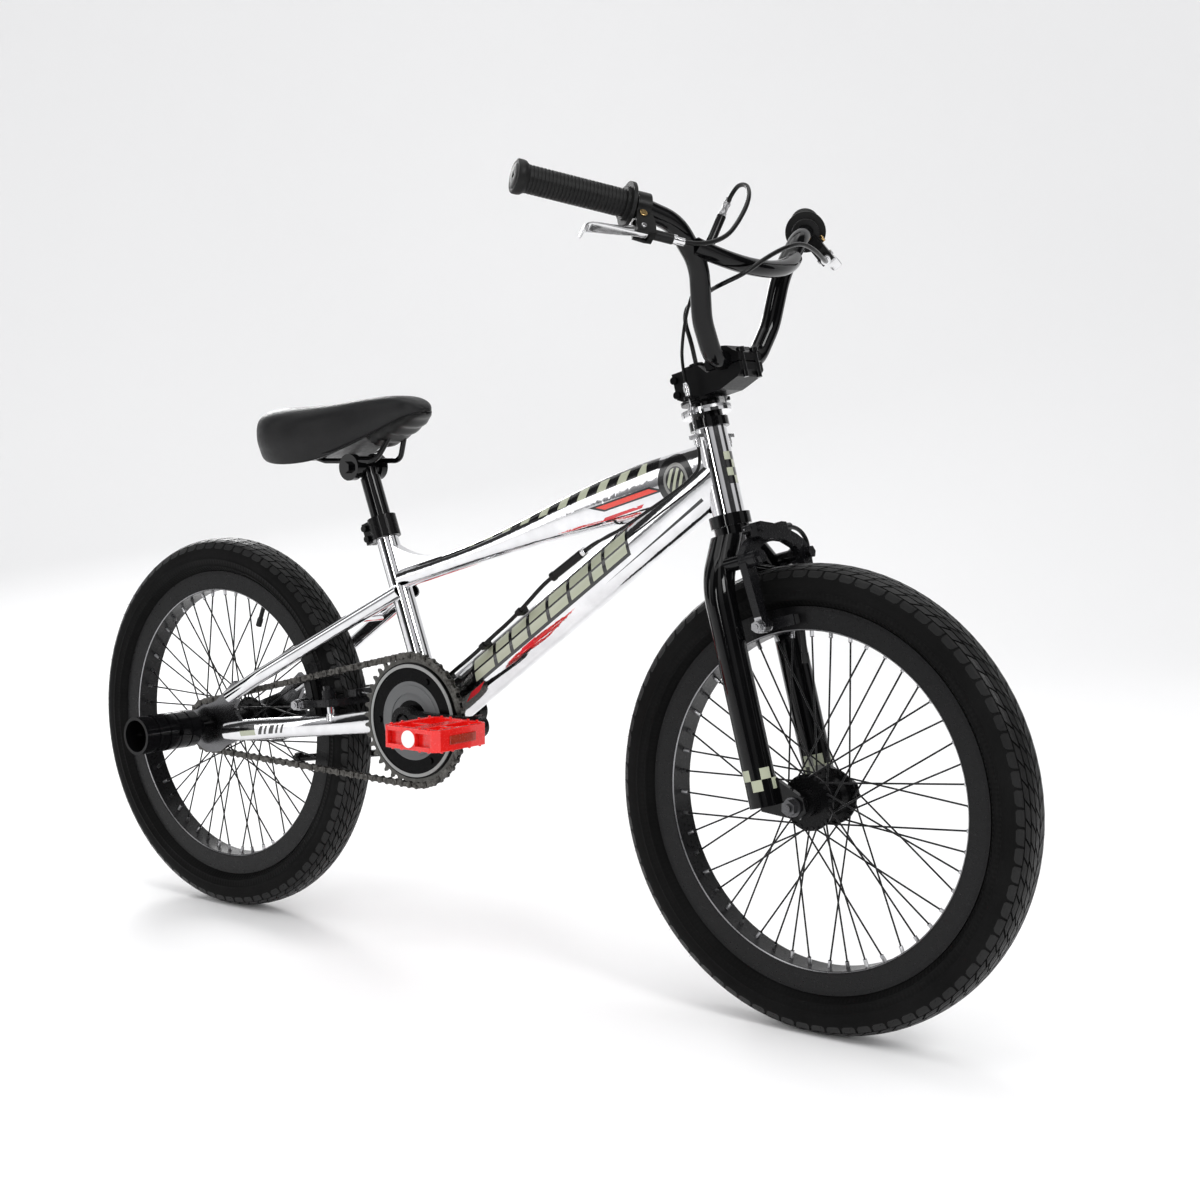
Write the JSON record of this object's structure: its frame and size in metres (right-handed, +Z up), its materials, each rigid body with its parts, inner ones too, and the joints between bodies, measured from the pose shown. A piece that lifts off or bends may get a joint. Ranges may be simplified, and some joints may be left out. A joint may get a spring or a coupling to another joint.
{
  "type": "bmx bike",
  "caption": "Freestyle BMX bike with chrome frame, black fork and high-rise bars, spoked wheels with street tyres, detangled cables, red platform pedals and axle pegs.",
  "frame": {"origin": "on the ground under the middle of the bike's overall box, in its middle plane", "axes": "+X forward, +Y to the rider's left, +Z up; the drive side is -Y"},
  "size_m": [1.455, 0.5586, 0.9165],
  "materials": {
    "frame_chrome": "polished plating",
    "dark_steel": "satin",
    "bright_steel": "satin",
    "gloss_black": "gloss",
    "matte_black": "matte",
    "alu": "polished",
    "arm_black": "satin",
    "black_plastic": "matte",
    "cable_black": "satin",
    "grip_rubber": "matte",
    "tyre_black": "matte",
    "tube_rubber": "matte",
    "rim_black": "satin",
    "spoke_black": "satin",
    "saddle_vinyl": "satin",
    "pedal_red": "gloss",
    "guard_grey": "satin"
  },
  "bodies": {
    "frame": {"head_tube": "frame_chrome", "top_tube": "frame_chrome", "down_tube": "frame_chrome", "seat_tube": "frame_chrome", "bb_shell": "frame_chrome", "chain_stays": "frame_chrome", "seat_stays": "frame_chrome", "rear_dropouts": "dark_steel", "seat_collar": "matte_black", "headset_cups": "matte_black", "bb_cups": "dark_steel", "rear_axle": "dark_steel", "rear_pegs": "gloss_black", "drive_chain": "dark_steel", "kickstand_bracket": "matte_black", "gyro_stops": "alu", "rear_brake_cables": "cable_black", "cable_clips": "black_plastic"},
    "steering": {"fork_steerer": "bright_steel", "fork_legs": "gloss_black", "headset_bearings": "bright_steel", "stem_body": "matte_black", "stem_cap": "matte_black", "stem_hardware": "dark_steel", "handlebar": "gloss_black", "grips": "grip_rubber", "lever_brackets": "black_plastic", "barrel_adjusters": "alu", "gyro_upper_plate": "matte_black", "front_brake_cable": "cable_black", "gyro_upper_cables": "cable_black", "front_axle": "dark_steel"},
    "front_wheel": {"front_tyre": "tyre_black", "front_rim": "rim_black", "front_spokes": "spoke_black", "front_hub": "gloss_black", "front_inner_tube": "tube_rubber"},
    "rear_wheel": {"rear_tyre": "tyre_black", "rear_rim": "rim_black", "rear_spokes": "spoke_black", "rear_hub": "gloss_black", "rear_inner_tube": "tube_rubber"},
    "freewheel": {"rear_sprocket": "dark_steel"},
    "crank": {"crank_arms": "gloss_black", "chainring": "guard_grey", "pedal_axles": "dark_steel"},
    "pedal_right": {"pedal_right": "pedal_red"},
    "pedal_left": {"pedal_left": "pedal_red"},
    "lever_right": {"brake_lever_right": "alu"},
    "lever_left": {"brake_lever_left": "alu"},
    "front_arm_right": {"front_brake_arm_right": "arm_black"},
    "front_arm_left": {"front_brake_arm_left": "arm_black"},
    "rear_arm_right": {"rear_brake_arm_right": "arm_black"},
    "rear_arm_left": {"rear_brake_arm_left": "arm_black"},
    "gyro_upper": {"gyro_upper_ring": "bright_steel"},
    "gyro_lower": {"gyro_lower_ring": "bright_steel"},
    "seat": {"seat_post": "gloss_black"},
    "saddle": {"saddle_frame": "dark_steel", "saddle_cover": "saddle_vinyl"},
    "kickstand": {"kickstand_leg": "matte_black"}
  },
  "joints": [
    {"name": "steering_turn", "type": "hinge", "parent": "frame", "child": "steering", "pos_m": [0.35786, 0, 0.54378], "axis": [-0.2588, 0, 0.9659], "continuous": true},
    {"name": "front_wheel_spin", "type": "hinge", "parent": "steering", "child": "front_wheel", "pos_m": [0.4735, 0, 0.254], "axis": [0, 1, 0], "continuous": true},
    {"name": "rear_wheel_spin", "type": "hinge", "parent": "frame", "child": "rear_wheel", "pos_m": [-0.4735, 0, 0.254], "axis": [0, 1, 0], "continuous": true},
    {"name": "crank_spin", "type": "hinge", "parent": "frame", "child": "crank", "pos_m": [-0.085, 0, 0.295], "axis": [0, 1, 0], "continuous": true, "deforming": ["drive_chain"]},
    {"name": "freewheel_spin", "type": "hinge", "parent": "frame", "child": "freewheel", "pos_m": [-0.4735, 0, 0.254], "axis": [0, 1, 0], "continuous": true},
    {"name": "pedal_right_spin", "type": "hinge", "parent": "crank", "child": "pedal_right", "pos_m": [0.04478, 0, 0.30248], "axis": [0, 1, 0], "continuous": true},
    {"name": "pedal_left_spin", "type": "hinge", "parent": "crank", "child": "pedal_left", "pos_m": [-0.21478, 0, 0.28752], "axis": [0, 1, 0], "continuous": true},
    {"name": "lever_right_pull", "type": "hinge", "parent": "steering", "child": "lever_right", "pos_m": [0.3672, -0.17727, 0.84871], "axis": [-0.7195, 0.313, -0.62], "range_deg": [0, 20], "stiffness_Nm_per_rad": 0.6, "springref_deg": -8.59, "deforming": ["rear_brake_cables"]},
    {"name": "lever_left_pull", "type": "hinge", "parent": "steering", "child": "lever_left", "pos_m": [0.3672, 0.17727, 0.84871], "axis": [0.7195, 0.313, 0.62], "range_deg": [0, 20], "stiffness_Nm_per_rad": 0.6, "springref_deg": -8.59, "deforming": ["front_brake_cable"]},
    {"name": "front_arm_right_swing", "type": "hinge", "parent": "steering", "child": "front_arm_right", "pos_m": [0.36951, -0.049, 0.50031], "axis": [0.9659, 0, 0.2588], "range_deg": [0, 1.45]},
    {"name": "front_arm_left_swing", "type": "hinge", "parent": "steering", "child": "front_arm_left", "pos_m": [0.36951, 0.049, 0.50031], "axis": [-0.9659, 0, -0.2588], "range_deg": [0, 1.45]},
    {"name": "rear_arm_right_swing", "type": "hinge", "parent": "frame", "child": "rear_arm_right", "pos_m": [-0.2298, -0.049, 0.3103], "axis": [0.12, 0, -0.9928], "range_deg": [0, 1.45]},
    {"name": "rear_arm_left_swing", "type": "hinge", "parent": "frame", "child": "rear_arm_left", "pos_m": [-0.2298, 0.049, 0.3103], "axis": [-0.12, 0, 0.9928], "range_deg": [0, 1.45]},
    {"name": "gyro_upper_slide", "type": "slide", "parent": "steering", "child": "gyro_upper", "axis": [-0.2588, 0, 0.9659], "range_m": [0, 0.0045], "stiffness_N_per_m": 0.05, "springref_m": 8.8043},
    {"name": "gyro_lower_slide", "type": "slide", "parent": "frame", "child": "gyro_lower", "axis": [-0.2588, 0, 0.9659], "range_m": [0, 0.0045], "stiffness_N_per_m": 0.05, "springref_m": 8.6539},
    {"name": "seatpost_slide", "type": "slide", "parent": "frame", "child": "seat", "axis": [-0.3502, 0, 0.9367], "range_m": [-0.035, 0.06]},
    {"name": "saddle_tilt", "type": "hinge", "parent": "seat", "child": "saddle", "pos_m": [-0.2115, 0, 0.606], "axis": [0, 1, 0], "range_deg": [-6, 6]},
    {"name": "kickstand_swing", "type": "hinge", "parent": "frame", "child": "kickstand", "pos_m": [-0.1385, 0.034, 0.243], "axis": [0.1873, -0.9769, -0.1026], "range_deg": [0, 101.9]}
  ],
  "couplings": [
    {"joint": "freewheel_spin", "follows": "crank_spin", "ratio": 2.5},
    {"joint": "front_arm_right_swing", "follows": "lever_left_pull", "ratio": 0.07},
    {"joint": "front_arm_left_swing", "follows": "lever_left_pull", "ratio": 0.07},
    {"joint": "rear_arm_right_swing", "follows": "lever_right_pull", "ratio": 0.07},
    {"joint": "rear_arm_left_swing", "follows": "lever_right_pull", "ratio": 0.07},
    {"joint": "gyro_upper_slide", "follows": "lever_right_pull", "m_per_rad": 0.0114},
    {"joint": "gyro_lower_slide", "follows": "lever_right_pull", "m_per_rad": 0.0114}
  ]
}
